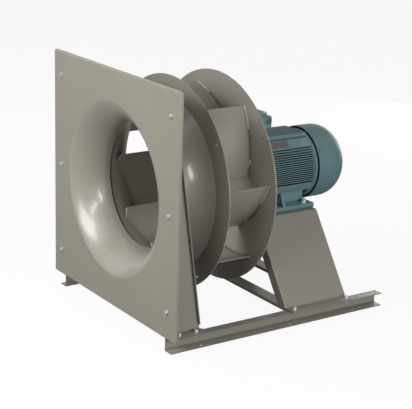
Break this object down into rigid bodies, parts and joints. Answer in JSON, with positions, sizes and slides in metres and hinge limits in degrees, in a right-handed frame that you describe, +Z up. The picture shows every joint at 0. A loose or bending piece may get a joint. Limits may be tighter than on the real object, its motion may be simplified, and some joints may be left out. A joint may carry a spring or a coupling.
{
  "type": "plug fan",
  "caption": "Plug fan: square inlet panel with a spun cone, backward curved impeller on the shaft of a foot mounted motor, on a folded stool and channel rails.",
  "frame": {"origin": "centre of the footprint at the underside of the base rails", "axes": "+Z up; +Y along the shaft from the inlet panel to the motor; +X to the right seen from the inlet. The shaft axis is level, at x = 0 and z = 0.446 m"},
  "size_m": [0.8, 0.9168, 0.846],
  "materials": {
    "fan_paint": "semi-gloss warm grey paint",
    "motor_paint": "semi-gloss blue-green paint",
    "zinc_plated": "zinc plated",
    "bare_steel": "machined",
    "cast_iron": "phosphated",
    "cast_aluminium": "as cast",
    "plate_aluminium": "brushed",
    "brass": "bright",
    "rubber": "matt",
    "moulded_plastic": "matt",
    "winding": "varnished"
  },
  "bodies": {
    "frame": {"inlet_panel": "fan_paint", "inlet_cone": "fan_paint", "gusset_left": "fan_paint", "gusset_right": "fan_paint", "base_rail_left": "fan_paint", "base_rail_right": "fan_paint", "front_crossmember": "fan_paint", "rear_crossmember": "fan_paint", "motor_stool": "fan_paint", "panel_bolts": "zinc_plated", "panel_washers": "zinc_plated", "panel_nuts": "zinc_plated", "gusset_foot_bolts": "zinc_plated", "gusset_foot_washers": "zinc_plated", "gusset_foot_nuts": "zinc_plated", "stool_foot_bolts": "zinc_plated", "stool_foot_washers": "zinc_plated", "stool_foot_nuts": "zinc_plated", "motor_foot_bolts": "zinc_plated", "motor_foot_washers": "zinc_plated", "motor_foot_nuts": "zinc_plated", "motor_frame": "motor_paint", "drive_end_shield": "motor_paint", "rear_end_shield": "motor_paint", "fan_cowl": "motor_paint", "shield_screws": "zinc_plated", "cowl_screws": "zinc_plated", "terminal_box_body": "motor_paint", "terminal_box_lid": "motor_paint", "terminal_box_gasket": "rubber", "terminal_lid_screws": "zinc_plated", "terminal_block": "moulded_plastic", "terminal_studs": "brass", "cable_entry_plug": "motor_paint", "side_entry_plug": "moulded_plastic", "rating_plate": "plate_aluminium", "rating_plate_rivets": "plate_aluminium", "stator_core": "bare_steel", "stator_windings": "winding", "bearing_outer_rings": "bare_steel", "shaft_seal": "rubber"},
    "rotor": {"impeller_front_shroud": "fan_paint", "impeller_back_plate": "fan_paint", "impeller_blades": "fan_paint", "impeller_hub": "cast_iron", "hub_bolts": "zinc_plated", "taper_bush": "cast_iron", "taper_bush_screws": "bare_steel", "motor_shaft": "bare_steel", "shaft_key": "bare_steel", "rotor_core": "bare_steel", "rotor_end_rings": "cast_aluminium", "bearing_inner_rings": "bare_steel", "cooling_fan": "moulded_plastic", "cooling_fan_clip": "bare_steel"}
  },
  "joints": [
    {"name": "rotor_spin", "type": "hinge", "parent": "frame", "child": "rotor", "pos_m": [0, -0.05155, 0.446], "axis": [0, 1, 0], "continuous": true}
  ]
}
